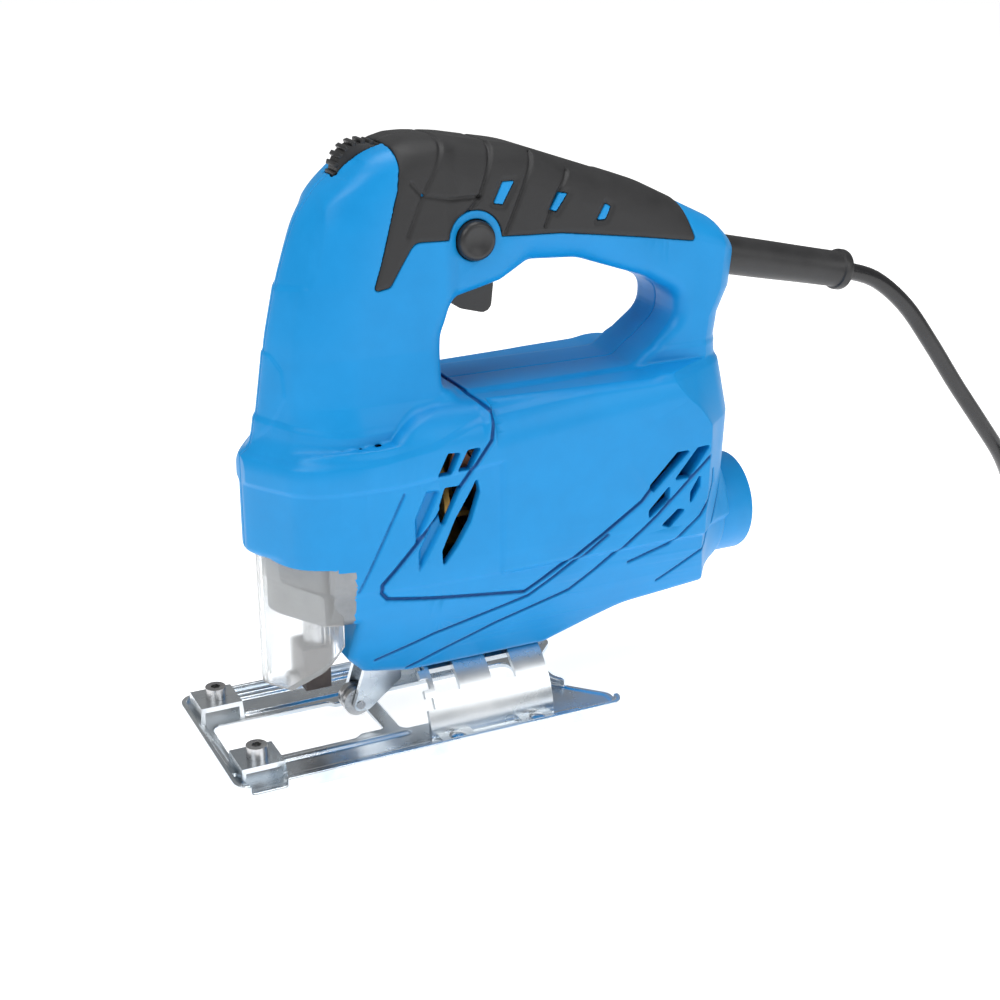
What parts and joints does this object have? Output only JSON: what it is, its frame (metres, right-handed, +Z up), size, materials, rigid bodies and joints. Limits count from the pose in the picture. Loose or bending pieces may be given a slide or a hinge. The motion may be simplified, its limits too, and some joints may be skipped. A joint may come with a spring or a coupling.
{
  "type": "corded jigsaw power tool",
  "caption": "Corded jigsaw with a closed top handle, trigger, lock button, speed dial, tilting pressed shoe, clear blade guard and rear dust port.",
  "frame": {"origin": "where the blade's centre line crosses the plane of the shoe's sole", "axes": "-X is the cutting direction, +X the cord end, +Y the right side of the tool, +Z up from the sole"},
  "size_m": [0.4491, 0.1042, 0.2009],
  "materials": {
    "housing": "satin",
    "grip": "matte",
    "cast_alloy": "satin",
    "bronze": "satin",
    "steel": "satin",
    "lamination": "satin",
    "copper": "satin",
    "black_plastic": "satin",
    "carbon": "matte",
    "board": "satin",
    "zinc": "gloss",
    "rubber": "matte",
    "cord": "gloss",
    "tie": "satin",
    "plug": "satin",
    "brass": "gloss",
    "fan": "satin",
    "dark_steel": "satin",
    "clear": "gloss"
  },
  "bodies": {
    "tool_body": {"housing_left": "housing", "housing_right": "housing", "grip_left": "grip", "grip_right": "grip", "dust_port": "housing", "gear_case": "cast_alloy", "lower_bush": "bronze", "upper_bush": "bronze", "gear_axle": "steel", "front_bearing": "steel", "rear_bearing": "steel", "stator_core": "lamination", "field_coils": "copper", "brush_holders": "black_plastic", "carbon_brushes": "carbon", "switch_body": "black_plastic", "speed_board": "board", "cord_clamp": "black_plastic", "housing_screws": "steel", "clamp_plate": "zinc", "clamp_screws": "steel", "roller_fork": "zinc", "roller_pin": "steel", "strain_relief": "rubber", "power_cord": "cord", "cord_coil": "cord", "cord_tie": "tie", "plug_lead": "cord", "plug": "plug", "plug_pins": "brass"},
    "shoe": {"shoe": "zinc", "fence_arches": "zinc", "fence_screws": "steel", "bevel_bracket": "zinc", "bracket_rivets": "steel"},
    "armature": {"motor_shaft": "steel", "rotor_core": "lamination", "rotor_windings": "copper", "commutator": "copper", "fan": "fan", "pinion": "steel"},
    "crank": {"crank_gear": "steel", "crank_pin": "steel"},
    "plunger": {"plunger": "steel", "yoke": "cast_alloy", "blade_clamp": "dark_steel", "clamp_bolt": "steel"},
    "trigger": {"trigger": "black_plastic"},
    "lock_button": {"lock_button": "black_plastic"},
    "speed_dial": {"speed_dial": "black_plastic"},
    "roller": {"guide_roller": "steel"},
    "guard": {"blade_guard": "clear"}
  },
  "joints": [
    {"name": "shoe_bevel", "type": "hinge", "parent": "tool_body", "child": "shoe", "pos_m": [0, 0, 0], "axis": [1, 0, 0], "range_deg": [-45, 45]},
    {"name": "armature_spin", "type": "hinge", "parent": "tool_body", "child": "armature", "pos_m": [0.08, 0, 0.08], "axis": [1, 0, 0], "continuous": true},
    {"name": "crank_spin", "type": "hinge", "parent": "tool_body", "child": "crank", "pos_m": [0.016, 0, 0.106], "axis": [1, 0, 0], "continuous": true},
    {"name": "plunger_slide", "type": "slide", "parent": "tool_body", "child": "plunger", "axis": [0, 0, 1], "range_m": [-0.009, 0.009]},
    {"name": "trigger_press", "type": "hinge", "parent": "tool_body", "child": "trigger", "pos_m": [0.042, 0, 0.159], "axis": [0, 1, 0], "range_deg": [-7, 0], "stiffness_Nm_per_rad": 0.25, "springref_deg": 20.05},
    {"name": "lock_press", "type": "slide", "parent": "tool_body", "child": "lock_button", "axis": [0, 1, 0], "range_m": [0, 0.0025], "stiffness_N_per_m": 400, "springref_m": -0.002},
    {"name": "speed_turn", "type": "hinge", "parent": "tool_body", "child": "speed_dial", "pos_m": [0.0203, 0, 0.189], "axis": [0, 1, 0], "range_deg": [-135, 135]},
    {"name": "roller_spin", "type": "hinge", "parent": "tool_body", "child": "roller", "pos_m": [0.013, 0, 0.009], "axis": [0, 1, 0], "continuous": true},
    {"name": "guard_slide", "type": "slide", "parent": "tool_body", "child": "guard", "axis": [0, 0, 1], "range_m": [0, 0.022]}
  ],
  "couplings": [
    {"joint": "crank_spin", "follows": "armature_spin", "ratio": -0.2093}
  ]
}
